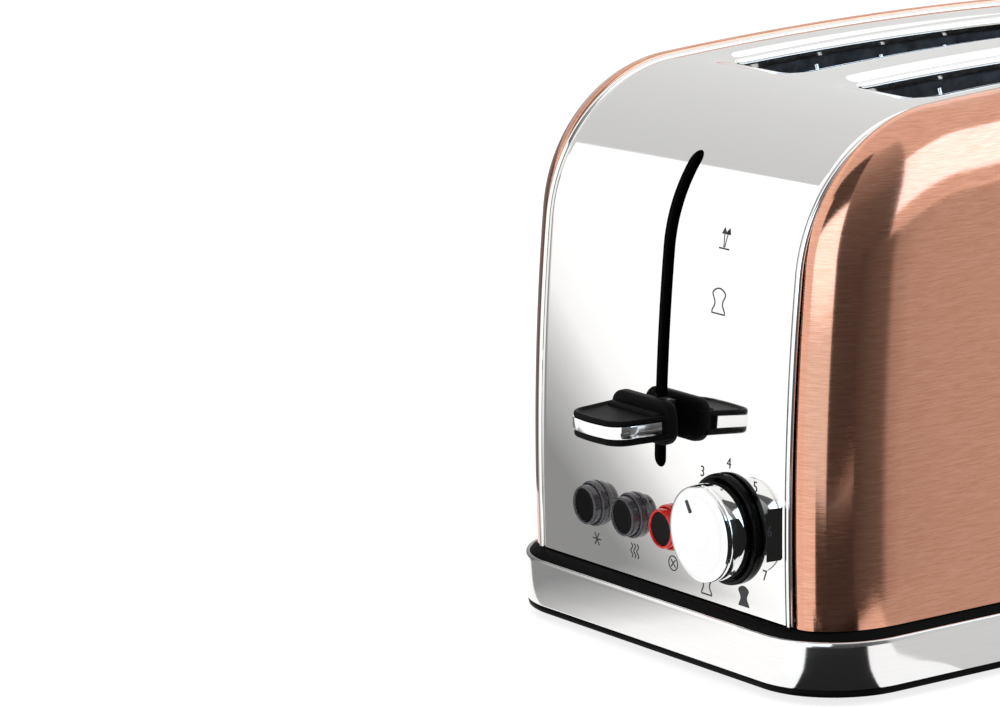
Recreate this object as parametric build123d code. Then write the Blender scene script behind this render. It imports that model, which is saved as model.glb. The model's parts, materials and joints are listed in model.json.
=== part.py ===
from build123d import *
import math
import os

# Pop up toaster. Millimetres, +Z up. The origin is the centre of the footprint, lever included,
# on the plane of the feet. The control end with the lever faces -X.

# Driving dimensions
BODY_LENGTH = 300.0
LEVER_REACH = 28.3
BASE_STEP = 5.85
BASE_HALF_WIDTH = 95.0
BASE_CORNER = 32.0
WRAP_HALF_WIDTH = 68.7
PANEL_HALF_WIDTH = 90.5
FOOT_HEIGHT = 2.5
BAND_BOTTOM = 5.1
BAND_TOP = 21.4
BODY_BOTTOM = 24.5
SHEET = 0.8
# Each half of the body's outline from the base up: radius and degrees turned, then a crown
FACE_STRAIGHT = 5.0
OUTLINE_ARCS = [(865.0, 7.3), (57.0, 79.3)]

SLOT_INNER = 15.0
SLOT_OUTER = 53.5
SLOT_END_MARGIN = 71.0
SLOT_CORNER = 7.0
LEVER_SLOT_WIDTH = 6.6
LEVER_SLOT_Z = (65.4, 170.6)
LEVER_TRAVEL = 75.0
TRIM_PROUD = 0.45

BUTTON_Y = [37.5, 15.3, -6.9]
BUTTON_Z = 46.0
BUTTON_TRAVEL = 1.8
KNOB_Y = -38.2
KNOB_Z = 51.3
KNOB_RADIUS = 16.4
POINTER_ANGLE = -29.0

SCREW_X = 100.0
SCREW_Y = 84.0
CHAMBER_START = 64.0
WIRE_RADIUS = 0.8
WIRE_COUNT = 6
WIRE_FIRST = 79.0
GRILLE_HALF_GAP = 12.5
PIVOT_Z = 44.0

# Places worked out from those
TOTAL_LENGTH = LEVER_REACH + BODY_LENGTH + BASE_STEP
FRONT = LEVER_REACH - TOTAL_LENGTH / 2
REAR = FRONT + BODY_LENGTH
MIDDLE = FRONT + BODY_LENGTH / 2
SLOT_CENTRE = (SLOT_INNER + SLOT_OUTER) / 2
SLOT_WIDTH = SLOT_OUTER - SLOT_INNER
SLOT_LENGTH = BODY_LENGTH - 2 * SLOT_END_MARGIN
SIDES = {"near": -1, "far": 1}


def block(x0, x1, y0, y1, z0, z1):
    """Box between two corners."""
    centre = ((x0 + x1) / 2, (y0 + y1) / 2, (z0 + z1) / 2)
    return Pos(*centre) * Box(abs(x1 - x0), abs(y1 - y0), abs(z1 - z0))


def rod_x(radius, x0, x1, y, z):
    """Round bar along X."""
    return Pos((x0 + x1) / 2, y, z) * Rot(0, 90, 0) * Cylinder(radius, x1 - x0)


def rod_z(radius, x, y, z0, z1):
    """Round bar along Z."""
    return Pos(x, y, (z0 + z1) / 2) * Cylinder(radius, z1 - z0)


def ring_x(outer, inner, x0, x1, y, z):
    """Round ring about an axis along X."""
    return rod_x(outer, x0, x1, y, z) - rod_x(inner, x0 - 1, x1 + 1, y, z)


def rounded_plate(half_length, half_width, corner, z0, z1):
    """Flat plate with rounded corners, centred on the body."""
    outline = RectangleRounded(2 * half_length, 2 * half_width, corner)
    return extrude(Pos(MIDDLE, 0, z0) * outline, amount=z1 - z0)


def outline_points(inset, rise, bottom):
    """Corner and mid-arc points of half the body's outline, from the base to the crown."""
    x, z, angle = FRONT + inset, BODY_BOTTOM + FACE_STRAIGHT + rise, 90.0
    steps = [((x, bottom), None, (x, z))]
    outer_x = FRONT
    outer_angle = 90.0
    for radius, turn in OUTLINE_ARCS:
        before, after = math.radians(outer_angle), math.radians(outer_angle - turn)
        outer_x += radius * (math.sin(before) - math.sin(after))
        outer_angle -= turn
    crown = (MIDDLE - outer_x) / math.sin(math.radians(outer_angle))
    for radius, turn in OUTLINE_ARCS + [(crown, outer_angle)]:
        r = radius - inset
        cx = x + r * math.sin(math.radians(angle))
        cz = z - r * math.cos(math.radians(angle))
        spots = []
        for part in (0.5, 1.0):
            now = math.radians(angle - turn * part)
            spots.append((cx - r * math.sin(now), cz + r * math.cos(now)))
        steps.append(((x, z), spots[0], spots[1]))
        x, z = spots[1]
        angle -= turn
    return steps


def arch_face(inset, y, rise=0.0, bottom=BODY_BOTTOM):
    """The body's side outline as a face at one Y, drawn in from the outside by inset."""
    left = outline_points(inset, rise, bottom)
    edges = []
    for start, middle, end in left:
        for flip in (False, True):
            spots = [start, end] if middle is None else [start, middle, end]
            places = [(2 * MIDDLE - x if flip else x, y, z) for x, z in spots]
            edges.append(Line(*places) if middle is None else ThreePointArc(*places))
    foot = left[0][0]
    edges.append(Line((foot[0], y, foot[1]), (2 * MIDDLE - foot[0], y, foot[1])))
    return make_face(Wire(edges))


def arch(inset, y0, y1, rise=0.0, bottom=BODY_BOTTOM):
    """Solid with the body's side outline between two Y planes."""
    return extrude(arch_face(inset, y0, rise, bottom), amount=y1 - y0, dir=(0, 1, 0))


def slot_prism(side, grow, z0, z1):
    """Rounded bar through a bread slot, grown outwards by grow."""
    outline = RectangleRounded(SLOT_LENGTH + 2 * grow, SLOT_WIDTH + 2 * grow, SLOT_CORNER + grow)
    return extrude(Pos(MIDDLE, side * SLOT_CENTRE, z0) * outline, amount=z1 - z0)


def lever_slot_bar(width, x0, x1):
    """Bar with round ends through the lever's slot."""
    low, high = LEVER_SLOT_Z[0] + width / 2, LEVER_SLOT_Z[1] - width / 2
    bar = block(x0, x1, -width / 2, width / 2, low, high)
    return bar + rod_x(width / 2, x0, x1, 0, low) + rod_x(width / 2, x0, x1, 0, high)


# Outer shell ---------------------------------------------------------------------------------

def wrap_shell():
    """One bent sheet that is both ends and the top, with its rolled side edges."""
    shell = arch(0, -WRAP_HALF_WIDTH, WRAP_HALF_WIDTH)
    shell -= arch(SHEET, -WRAP_HALF_WIDTH - 1, WRAP_HALF_WIDTH + 1, bottom=BODY_BOTTOM - 1)
    for side in SIDES.values():
        edge0, edge1 = sorted((side * WRAP_HALF_WIDTH, side * (WRAP_HALF_WIDTH + 2.6)))
        bead = arch(-0.7, edge0, edge1) - arch(1.9, edge0 - 1, edge1 + 1, bottom=BODY_BOTTOM - 1)
        shell += bead
        flange = slot_prism(side, SHEET, 180, 196) - slot_prism(side, 0, 178, 198)
        shell -= slot_prism(side, 0, 150, 220)
        shell += flange & arch(0.3, -60, 60) & block(FRONT, REAR, -60, 60, 184.5, 200)
    shell -= lever_slot_bar(LEVER_SLOT_WIDTH, FRONT - 5, FRONT + 35)
    for y in BUTTON_Y:
        shell -= rod_x(7.3, FRONT - 2, FRONT + 4, y, BUTTON_Z)
    shell -= rod_x(4.5, FRONT - 2, FRONT + 4, KNOB_Y, KNOB_Z)
    shell -= rod_x(6.5, REAR - 4, REAR + 2, 40, 42)
    return shell


def side_panel(side):
    """Domed side pressing, hollow behind, standing outside the wrap's rolled edge."""
    start = WRAP_HALF_WIDTH + 3.1

    def dome(skin):
        depth = PANEL_HALF_WIDTH - start - skin
        reach = 26.0
        faces = []
        for part in (0.0, 0.35, 0.62, 0.82, 0.94, 1.0):
            inset = 1.6 + skin + reach * (1 - math.sqrt(1 - part * part))
            y = side * (start + depth * part)
            faces.append(arch_face(inset, y, rise=3.2, bottom=BODY_BOTTOM - 0.8))
        return loft(faces, ruled=False)

    inner_cut = dome(1.0)
    lowered = block(FRONT, REAR, side * start, side * (PANEL_HALF_WIDTH - 1.0), 20, BODY_BOTTOM)
    return dome(0.0) - inner_cut - (lowered & Pos(0, 0, -2) * inner_cut)


def lever_guide_strip():
    """Dark plastic strip behind the lever's slot."""
    strip = arch(SHEET + 0.1, -9, 9) - arch(SHEET + 1.6, -10, 10, bottom=BODY_BOTTOM - 1)
    strip &= block(FRONT, FRONT + 32, -9, 9, LEVER_SLOT_Z[0] - 4, LEVER_SLOT_Z[1] + 4)
    return strip - lever_slot_bar(LEVER_SLOT_WIDTH - 1.2, FRONT - 5, FRONT + 40)


# Base ----------------------------------------------------------------------------------------

def base_frame():
    """Moulded base: bottom lip, hollow ring and the sloped ledge that the body stands on."""
    half = BODY_LENGTH / 2
    wall = SHEET + 0.1
    inner_x, inner_y, inner_r = half + BASE_STEP - wall, BASE_HALF_WIDTH - wall, BASE_CORNER - wall
    lip_step = 0.4
    lip = rounded_plate(half + BASE_STEP - lip_step, BASE_HALF_WIDTH - lip_step, BASE_CORNER - lip_step,
                        FOOT_HEIGHT, BAND_BOTTOM - 0.05)
    ring = rounded_plate(inner_x, inner_y, inner_r, FOOT_HEIGHT, BAND_TOP)
    low = Pos(MIDDLE, 0, BAND_TOP) * RectangleRounded(2 * inner_x, 2 * inner_y, inner_r)
    ledge = RectangleRounded(2 * half + 3, 2 * BASE_HALF_WIDTH - 4, BASE_CORNER - 3)
    high = Pos(MIDDLE, 0, BODY_BOTTOM - 0.9) * ledge
    frame = lip + ring + loft([low, high])
    thick = 4
    frame -= rounded_plate(half + BASE_STEP - thick, BASE_HALF_WIDTH - thick, BASE_CORNER - thick,
                           FOOT_HEIGHT - 1, BAND_TOP - 1)
    frame -= block(FRONT + 5, REAR - 5, -66, 66, 10, 40)
    frame -= block(REAR - 10, REAR + 20, -59, 59, 6.2, 18.6)
    return frame


def base_band():
    """Brushed steel band round the base, open at the rear for the crumb tray."""
    half = BODY_LENGTH / 2 + BASE_STEP
    band = rounded_plate(half, BASE_HALF_WIDTH, BASE_CORNER, BAND_BOTTOM, BAND_TOP)
    band -= rounded_plate(half - SHEET, BASE_HALF_WIDTH - SHEET, BASE_CORNER - SHEET, 0, 40)
    return band - block(REAR - 10, REAR + 20, -59, 59, 6.2, 18.6)


def bottom_plate():
    """Vented steel plate under the base with two rails for the crumb tray."""
    half = BODY_LENGTH / 2 + BASE_STEP - 4.2
    plate = rounded_plate(half, BASE_HALF_WIDTH - 4.2, BASE_CORNER - 4.2, 3.6, 4.6)
    for column in range(-5, 6):
        for y in (-72, 0, 72):
            plate -= block(MIDDLE + 18 * column - 6, MIDDLE + 18 * column + 6, y - 1.5, y + 1.5, 3, 5)
    for y in (-40, 40):
        plate += block(FRONT + 40, REAR - 12, y - 1.5, y + 1.5, 4.6, 6.9)
    for x in (MIDDLE - SCREW_X, MIDDLE + SCREW_X):
        for y in (-SCREW_Y, SCREW_Y):
            plate -= rod_z(1.5, x, y, 3, 5)
    return plate


def feet():
    """Four round rubber feet."""
    pads = []
    for x in (MIDDLE - 122, MIDDLE + 122):
        for y in (-66, 66):
            pads.append(Pos(x, y, 1.8) * Cone(7.0, 8.0, 3.6))
    return Compound(children=pads)


def base_screws():
    """Four screws that hold the bottom plate to the base."""
    screws = []
    for x in (MIDDLE - SCREW_X, MIDDLE + SCREW_X):
        for y in (-SCREW_Y, SCREW_Y):
            screws.append(rod_z(3.2, x, y, 2.7, 3.6) + rod_z(1.4, x, y, 3.6, 12))
    return Compound(children=screws)


def crumb_tray():
    """Shallow tray that slides out of the rear of the base."""
    tray = block(FRONT + 46, REAR - 2, -54, 54, 7.2, 15.0)
    return tray - block(FRONT + 46.7, REAR - 2.7, -53.3, 53.3, 7.9, 16)


def crumb_tray_handle():
    """Front bar of the crumb tray, with a finger recess."""
    bar = block(REAR - 2, REAR + BASE_STEP - 0.1, -58, 58, 7.0, 18.0)
    return bar - block(REAR + 1.0, REAR + BASE_STEP + 1, -22, 22, 5, 13.5)


# Toasting chambers ---------------------------------------------------------------------------

def chamber_frame(x):
    """Steel end frame of the chambers, slotted for the bread racks and drilled for the pivots."""
    plate = block(x, x + 1, -60, 60, 24.0, 182)
    foot = block(x, x + 12, -68, 68, 23.7, 24.7)
    plate = plate + foot
    for side in SIDES.values():
        y = side * SLOT_CENTRE
        plate -= block(x - 1, x + 2, y - 2.2, y + 2.2, 44, 57 + LEVER_TRAVEL)
        for inward in (-1, 1):
            plate -= rod_x(1.26, x - 1, x + 2, y + inward * GRILLE_HALF_GAP, PIVOT_Z)
    return plate


def reflector(side):
    """Bright outer heat reflector of one chamber."""
    x0, x1 = FRONT + CHAMBER_START + 1.2, REAR - CHAMBER_START - 1.2
    sheet = block(x0, x1, side * 58, side * 58.6, 26, 178)
    flange = block(x0, x1, side * 58, side * 63, 25, 26)
    return sheet + flange


def centre_reflector():
    """Folded sheet between the two chambers."""
    x0, x1 = FRONT + CHAMBER_START + 1.2, REAR - CHAMBER_START - 1.2
    fold = block(x0, x1, -7, 7, 26, 180)
    return fold - block(x0 - 1, x1 + 1, -6.4, 6.4, 20, 179.4)


def heater_boards():
    """Four mica boards that carry the heating wires."""
    boards = []
    for y in (-56, -10.2, 10.2, 56):
        ends = FRONT + CHAMBER_START + 2, REAR - CHAMBER_START - 2
        boards.append(block(*ends, y - 0.25, y + 0.25, 34, 176))
    return Compound(children=boards)


def heating_wires():
    """Flat nichrome ribbon wound up and down each board, on the bread's side."""
    ribbons = []
    for y, facing in ((-56, 1), (-10.2, -1), (10.2, 1), (56, -1)):
        y0 = y + facing * 0.3
        rows = []
        for row in range(13):
            z = 44 + row * 10.2
            rows.append(block(FRONT + 72, REAR - 72, y0, y0 + facing * 0.35, z, z + 1.2))
            if row:
                x = REAR - 73.2 if row % 2 else FRONT + 72
                rows.append(block(x, x + 1.2, y0, y0 + facing * 0.35, z - 10.2, z + 1.2))
        ribbons.append(Part() + rows)
    return Compound(children=ribbons)


def slot_liner(side):
    """Short dark funnel under a bread slot."""
    tube = slot_prism(side, SHEET + 0.9, 176, 196) - slot_prism(side, SHEET + 0.3, 170, 200)
    return tube & arch(SHEET + 0.4, -60, 60) & block(FRONT, REAR, -60, 60, 176.5, 188)


def bread_guide(side, inward):
    """Wire grille that closes on the bread. Its bottom wire is its pivot."""
    y = side * SLOT_CENTRE + inward * GRILLE_HALF_GAP
    x0, x1 = FRONT + CHAMBER_START - 1, REAR - CHAMBER_START + 1
    grille = rod_x(1.2, x0, x1, y, PIVOT_Z)
    for z in (90, 165):
        grille += rod_x(WIRE_RADIUS, FRONT + 72, REAR - 72, y, z)
    pitch = (BODY_LENGTH - 2 * WIRE_FIRST) / (WIRE_COUNT - 1)
    for number in range(WIRE_COUNT):
        x = FRONT + WIRE_FIRST + number * pitch
        path = Polyline((x, y, PIVOT_Z), (x, y, 174), (x, y + inward * 3.0, 183))
        grille += sweep(Plane(origin=(x, y, PIVOT_Z), z_dir=(0, 0, 1)) * Circle(WIRE_RADIUS), path=path,
                        transition=Transition.ROUND)
    return grille


# Carriage ------------------------------------------------------------------------------------

def bread_rack(side):
    """Thin rail that carries one slice, with cross fingers."""
    y = side * SLOT_CENTRE
    rail = block(FRONT + 50, REAR - CHAMBER_START + 4, y - 0.6, y + 0.6, 48, 55)
    pitch = (BODY_LENGTH - 2 * WIRE_FIRST) / (WIRE_COUNT - 1)
    for number in range(WIRE_COUNT):
        x = FRONT + WIRE_FIRST + number * pitch
        rail += block(x - 0.8, x + 0.8, y - 8, y + 8, 53, 56)
    return rail


def carriage_bracket():
    """Pressed bracket that rides on the guide rod and joins the lever to both racks."""
    bracket = block(FRONT + 40, FRONT + 50, -SLOT_CENTRE - 4, SLOT_CENTRE + 4, 48, 50)
    bracket += block(FRONT + 48, FRONT + 50, -SLOT_CENTRE - 4, SLOT_CENTRE + 4, 48, 56)
    bracket += rod_z(6, FRONT + 44, 0, 48, 64)
    bracket += block(FRONT + 33, FRONT + 39, -2.2, 2.2, 60, 64)
    bracket += block(FRONT + 36, FRONT + 44, 10, 18, 48, 50)
    return bracket - rod_z(3.05, FRONT + 44, 0, 40, 70)


def armature_plate():
    """Soft iron plate that the magnet holds while toasting."""
    return block(FRONT + 30, FRONT + 40, -28, -12, 48, 50)


def lever_stem():
    """Flat steel arm from the carriage out through the slot to the paddle."""
    arm = block(FRONT - 3.5, FRONT + 38, -1.9, 1.9, 77.5, 88.5)
    return arm + block(FRONT + 30, FRONT + 38, -1.9, 1.9, 64, 77.5)


def paddle_plan(grow):
    """Plan of the lever's paddle: wider at the back, a bowed front and round corners."""
    back, front = FRONT - 6.0, FRONT - LEVER_REACH + TRIM_PROUD
    half_back, half_front, bow = 16.5 + grow, 13.6 + grow, 2.0
    corners = make_face(Wire([
        Line((back, -half_back), (back, half_back)),
        Line((back, half_back), (front + bow - grow, half_front)),
        ThreePointArc((front + bow - grow, half_front), (front - grow, 0),
                      (front + bow - grow, -half_front)),
        Line((front + bow - grow, -half_front), (back, -half_back)),
    ]))
    tips = [v for v in corners.vertices() if v.X < back - 5]
    return fillet(tips, 5.0 + grow)


def lever_paddle():
    """Moulded finger paddle with an upright plate at its back and a dished top."""
    body = extrude(Pos(0, 0, 78.3) * paddle_plan(0), amount=8.7)
    dish = extrude(Pos(0, 0, 86.2) * offset(paddle_plan(0), -1.8), amount=2)
    body = body - (dish & block(FRONT - 40, FRONT - 7.5, -30, 30, 80, 90))
    plate = block(FRONT - 7.2, FRONT - 2.6, -16.5, 16.5, 75.8, 91)
    plate = fillet(plate.edges().filter_by(Axis.X), 2.0)
    groove = extrude(Pos(0, 0, 80.7) * paddle_plan(1.0), amount=4.7)
    groove -= extrude(Pos(0, 0, 80) * paddle_plan(-0.8), amount=6)
    groove &= block(FRONT - 40, FRONT - 9.8, -30, 30, 80, 90)
    return body + plate - groove - block(FRONT - 3.6, FRONT, -2.0, 2.0, 77.3, 88.7)


def lever_trim():
    """Bright band let into the paddle's front and sides."""
    band = extrude(Pos(0, 0, 80.8) * paddle_plan(TRIM_PROUD), amount=4.5)
    band -= extrude(Pos(0, 0, 80) * paddle_plan(-0.7), amount=6)
    return band & block(FRONT - 40, FRONT - 9.9, -30, 30, 80, 90)


def guide_rod():
    """Fixed rod that the carriage slides on."""
    return rod_z(3.0, FRONT + 44, 0, 24.7, 166)


def rod_bracket():
    """Shelf on the chamber frame that holds both ends of the guide rod."""
    low = block(FRONT + 38, FRONT + CHAMBER_START - 0.1, -12, 12, 23.7, 24.7)
    high = block(FRONT + 38, FRONT + CHAMBER_START - 0.1, -12, 20, 166, 167)
    return low + high


def lift_spring():
    """Extension spring that raises the carriage, drawn stretched."""
    path = Helix(pitch=4.6, height=101.2, radius=3.2)
    start = Plane(origin=path @ 0, z_dir=path % 0)
    coil = sweep(start * Circle(0.45), path=path)
    return Pos(FRONT + 40, 14, 58) * coil


def electromagnet():
    """Coil and core that hold the carriage down."""
    core = block(FRONT + 30, FRONT + 40, -26, -14, 25, 47.6)
    return core + rod_z(8.5, FRONT + 35, -20, 28, 44)


# Controls ------------------------------------------------------------------------------------

def control_board():
    """Circuit board behind the control end."""
    board = block(FRONT + 16, FRONT + 17.6, -62, 62, 28, 70)
    board += block(FRONT + 17.6, FRONT + 28, 30, 48, 34, 50)
    return board + rod_x(4, FRONT + 17.6, FRONT + 28, 54, 50)


def tact_switches():
    """Three small switches on the board behind the buttons."""
    half = 3
    return Compound(children=[
        block(FRONT + 7.6, FRONT + 15.9, y - half, y + half, BUTTON_Z - half, BUTTON_Z + half) for y in BUTTON_Y
    ])


def potentiometer():
    """Rotary control on the board, bored for the dial's shaft."""
    can = rod_x(8, FRONT + 4, FRONT + 15.9, KNOB_Y, KNOB_Z)
    return can - rod_x(3.06, FRONT + 3, FRONT + 12.5, KNOB_Y, KNOB_Z)


def dial_bezel():
    """Black ring behind the browning dial."""
    return ring_x(18.8, 12.0, FRONT - 2.3, FRONT - 0.05, KNOB_Y, KNOB_Z)


def dial_shaft():
    """Turning shaft of the browning control."""
    return rod_x(3.0, FRONT - 8, FRONT + 12.2, KNOB_Y, KNOB_Z)


def dial_knob():
    """Hollow round knob on the shaft."""
    knob = rod_x(KNOB_RADIUS, FRONT - 12.3, FRONT - 2.6, KNOB_Y, KNOB_Z)
    rim = knob.edges().filter_by(GeomType.CIRCLE).sort_by(Axis.X)[0]
    knob = chamfer(rim, 0.8)
    hollow = ring_x(KNOB_RADIUS - 1.5, 5.0, FRONT - 10.5, FRONT - 2, KNOB_Y, KNOB_Z)
    return knob - hollow - rod_x(3.0, FRONT - 8, FRONT, KNOB_Y, KNOB_Z)


def dial_pointer():
    """Inlaid mark on the knob's face, near the rim."""
    mark = block(FRONT - 12.45, FRONT - 12.3, -0.5, 0.5, 7.5, 12.0)
    return Pos(0, KNOB_Y, KNOB_Z) * Rot(POINTER_ANGLE, 0, 0) * mark





def button_collar(y):
    """Fixed ring round a push button."""
    return ring_x(7.9, 7.05, FRONT - 2.2, FRONT - 0.02, y, BUTTON_Z)


def button_ring(y):
    """Translucent ring that moves with the button and carries its light."""
    return ring_x(6.8, 5.75, FRONT - 5.2, FRONT + 3.0, y, BUTTON_Z)


def button_cap(y):
    """Round cap with the plunger that works the switch."""
    cap = rod_x(5.7, FRONT - 4.9, FRONT + 2.0, y, BUTTON_Z)
    return cap + rod_x(2.2, FRONT + 2.0, FRONT + 5.7, y, BUTTON_Z)


# Rear ----------------------------------------------------------------------------------------

def cord_gland():
    """Round bush in the rear wall where the mains lead would pass."""
    gland = rod_x(8.5, REAR + 0.05, REAR + 4.0, 40, 42) + rod_x(6.2, REAR - 3, REAR + 0.05, 40, 42)
    return gland - rod_x(3.6, REAR - 6, REAR + 6, 40, 42)


def terminal_block():
    """Block that joins the mains lead to the inner wiring."""
    base = block(REAR - 40, REAR - 24, 28, 52, 24.7, 38)
    for y in (34, 40, 46):
        base -= rod_z(1.8, REAR - 32, y, 30, 40)
    return base


def frame_screws():
    """Screws that hold the chamber frames to the base."""
    screws = []
    for x in (FRONT + CHAMBER_START + 7, REAR - CHAMBER_START + 6):
        for y in (-64.5, 64.5):
            screws.append(rod_z(1.4, x, y, 24.75, 27.5))
    return Compound(children=screws)


PARTS = {
    "wrap_shell": wrap_shell(),
    "lever_guide_strip": lever_guide_strip(),
    "base_frame": base_frame(),
    "base_band": base_band(),
    "bottom_plate": bottom_plate(),
    "rubber_feet": feet(),
    "base_screws": base_screws(),
    "crumb_tray": crumb_tray(),
    "crumb_tray_handle": crumb_tray_handle(),
    "front_frame": chamber_frame(FRONT + CHAMBER_START),
    "rear_frame": chamber_frame(REAR - CHAMBER_START - 1),
    "frame_screws": frame_screws(),
    "centre_reflector": centre_reflector(),
    "heater_boards": heater_boards(),
    "heating_wires": heating_wires(),
    "carriage_bracket": carriage_bracket(),
    "armature_plate": armature_plate(),
    "lever_stem": lever_stem(),
    "lever_paddle": lever_paddle(),
    "lever_trim": lever_trim(),
    "guide_rod": guide_rod(),
    "rod_bracket": rod_bracket(),
    "lift_spring": lift_spring(),
    "electromagnet": electromagnet(),
    "control_board": control_board(),
    "tact_switches": tact_switches(),
    "potentiometer": potentiometer(),
    "dial_bezel": dial_bezel(),
    "dial_shaft": dial_shaft(),
    "dial_knob": dial_knob(),
    "dial_pointer": dial_pointer(),
    "cord_gland": cord_gland(),
    "terminal_block": terminal_block(),
}
for label, sign in SIDES.items():
    PARTS[f"side_panel_{label}"] = side_panel(sign)
    PARTS[f"reflector_{label}"] = reflector(sign)
    PARTS[f"slot_liner_{label}"] = slot_liner(sign)
    PARTS[f"bread_rack_{label}"] = bread_rack(sign)
    PARTS[f"bread_guide_{label}_outer"] = bread_guide(sign, sign)
    PARTS[f"bread_guide_{label}_inner"] = bread_guide(sign, -sign)
for label, place in zip(("defrost", "reheat", "cancel"), BUTTON_Y):
    PARTS[f"{label}_collar"] = button_collar(place)
    PARTS[f"{label}_ring"] = button_ring(place)
    PARTS[f"{label}_cap"] = button_cap(place)

os.makedirs("parts", exist_ok=True)
for label, shape in PARTS.items():
    export_step(shape, f"parts/{label}.step")
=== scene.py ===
import json
import math

import bpy
from bpy.props import FloatProperty, IntProperty, PointerProperty, StringProperty
from mathutils import Matrix, Vector


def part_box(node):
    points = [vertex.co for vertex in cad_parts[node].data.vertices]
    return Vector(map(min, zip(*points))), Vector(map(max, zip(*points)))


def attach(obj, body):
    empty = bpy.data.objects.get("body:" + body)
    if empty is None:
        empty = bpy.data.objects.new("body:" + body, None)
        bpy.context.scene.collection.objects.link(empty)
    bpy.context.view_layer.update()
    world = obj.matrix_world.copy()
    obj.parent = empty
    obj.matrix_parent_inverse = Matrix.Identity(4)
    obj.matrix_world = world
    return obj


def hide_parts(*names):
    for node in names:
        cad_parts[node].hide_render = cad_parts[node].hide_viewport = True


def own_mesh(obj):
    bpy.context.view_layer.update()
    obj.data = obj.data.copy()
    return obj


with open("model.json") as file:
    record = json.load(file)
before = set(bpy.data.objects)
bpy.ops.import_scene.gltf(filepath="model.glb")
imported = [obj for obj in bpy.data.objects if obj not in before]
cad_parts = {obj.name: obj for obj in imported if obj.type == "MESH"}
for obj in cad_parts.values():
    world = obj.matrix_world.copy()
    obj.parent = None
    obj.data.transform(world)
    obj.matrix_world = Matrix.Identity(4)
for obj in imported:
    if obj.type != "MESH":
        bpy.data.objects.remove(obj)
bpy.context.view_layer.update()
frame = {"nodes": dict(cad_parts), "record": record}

bl_info = {
    "name": "Pop Up Toaster",
    "version": (1, 0, 0),
    "blender": (4, 5, 0),
    "location": "3D View > Sidebar > Toaster",
    "description": "Builds the finished casing, controls and finishes of a pop up toaster round its frame",
    "category": "Add Mesh",
}

MM = 0.001
BAND_GROWTH = 5.85 * MM  # how far the base stands out past the ends
FOOT = 5 * MM  # straight part under the bowed ends
LEVER_SLOT_WIDTH, LEVER_SLOT_LOW, LEVER_SLOT_HIGH = 6.6 * MM, 65.4 * MM, 170.6 * MM
BUTTON_BORE, SHAFT_BORE, GLAND_BORE = 7.3 * MM, 4.5 * MM, 6.5 * MM
BASE_CORNER = 32 * MM
NUMBER_SIZE, NUMBER_RADIUS, NUMBER_SWEEP = 5.2 * MM, 22.8 * MM, 240
SYMBOL_DROP = 12.6 * MM  # from a button's centre down to its picture
INK_HEIGHT, INK_LINE = 0.05 * MM, 0.42  # the line is in millimetres
SIDES = (-1, 1)

# Places taken from the frame
BAND_LOW, BAND_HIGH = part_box("base_band")
FRONT = BAND_LOW.x + BAND_GROWTH
REAR = BAND_HIGH.x - BAND_GROWTH
MIDDLE = (FRONT + REAR) / 2
BODY_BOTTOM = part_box("wrap_shell")[0].z
PANEL_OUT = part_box("side_panel_far")[1].y


def node_middle(name):
    """Centre of a frame node's box."""
    low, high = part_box(name)
    return (low + high) / 2


DIAL = node_middle("dial_bezel")
BUTTONS = {name: node_middle(f"{name}_collar") for name in ("defrost", "reheat", "cancel")}


class ToasterSizes(bpy.types.PropertyGroup):
    """Sizes and colours that a user may change."""

    face_radius: FloatProperty(name="Face radius", description="Radius of the gently bowed ends",
                               default=865 * MM, unit="LENGTH")
    face_turn: FloatProperty(name="Face turn", description="Angle that each end bows through",
                             default=math.radians(7.3), subtype="ANGLE")
    shoulder_radius: FloatProperty(name="Shoulder radius", description="Radius from the end to the top",
                                   default=57 * MM, unit="LENGTH")
    shoulder_turn: FloatProperty(name="Shoulder turn", description="Angle of the shoulder",
                                 default=math.radians(79.3), subtype="ANGLE")
    wrap_half_width: FloatProperty(name="Wrap half width", description="Flat half width of the polished wrap",
                                   default=68.7 * MM, unit="LENGTH")
    sheet: FloatProperty(name="Sheet", description="Thickness of the sheet metal", default=0.8 * MM, unit="LENGTH")
    dish_width: FloatProperty(name="Dish width", description="Width of the dished border round a bread slot",
                              default=9.0 * MM, unit="LENGTH")
    dish_depth: FloatProperty(name="Dish depth", description="How far a bread slot's lip lies below the top",
                              default=1.7 * MM, unit="LENGTH")
    panel_reach: FloatProperty(name="Panel reach", description="How far a side panel's rounded border runs inwards",
                               default=30 * MM, unit="LENGTH")
    dial_radius: FloatProperty(name="Dial radius", description="Radius of the browning dial",
                               default=16.4 * MM, unit="LENGTH")
    pointer_angle: FloatProperty(name="Pointer angle", description="Where the dial points, from upright",
                                 default=math.radians(-29), subtype="ANGLE")
    dial_steps: IntProperty(name="Dial steps", description="Numbers round the dial", default=7)
    steel_colour: StringProperty(name="Steel", description="Polished steel, sRGB hex", default="#F1F0EE")
    copper_colour: StringProperty(name="Copper", description="Brushed copper, sRGB hex", default="#DEA389")
    red_colour: StringProperty(name="Red", description="Red button ring, sRGB hex", default="#EE3A30")


def sizes():
    """The sizes of this scene."""
    return bpy.context.scene.toaster


# Modelling helpers ---------------------------------------------------------------------------

def deselect():
    """Leave edit mode and select nothing."""
    if bpy.context.object and bpy.context.object.mode != "OBJECT":
        bpy.ops.object.mode_set(mode="OBJECT")
    bpy.ops.object.select_all(action="DESELECT")


def named(name):
    """Name the object that was just added and its mesh."""
    piece = bpy.context.object
    piece.name = name
    piece.data.name = name
    return piece


def pick(piece):
    """Make one piece the only selected and active object."""
    deselect()
    piece.select_set(True)
    bpy.context.view_layer.objects.active = piece
    return piece


def settle(piece):
    """Move the piece's place, turn and scale into its mesh."""
    pick(piece)
    bpy.ops.object.transform_apply(location=True, rotation=True, scale=True)
    return piece


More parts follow.
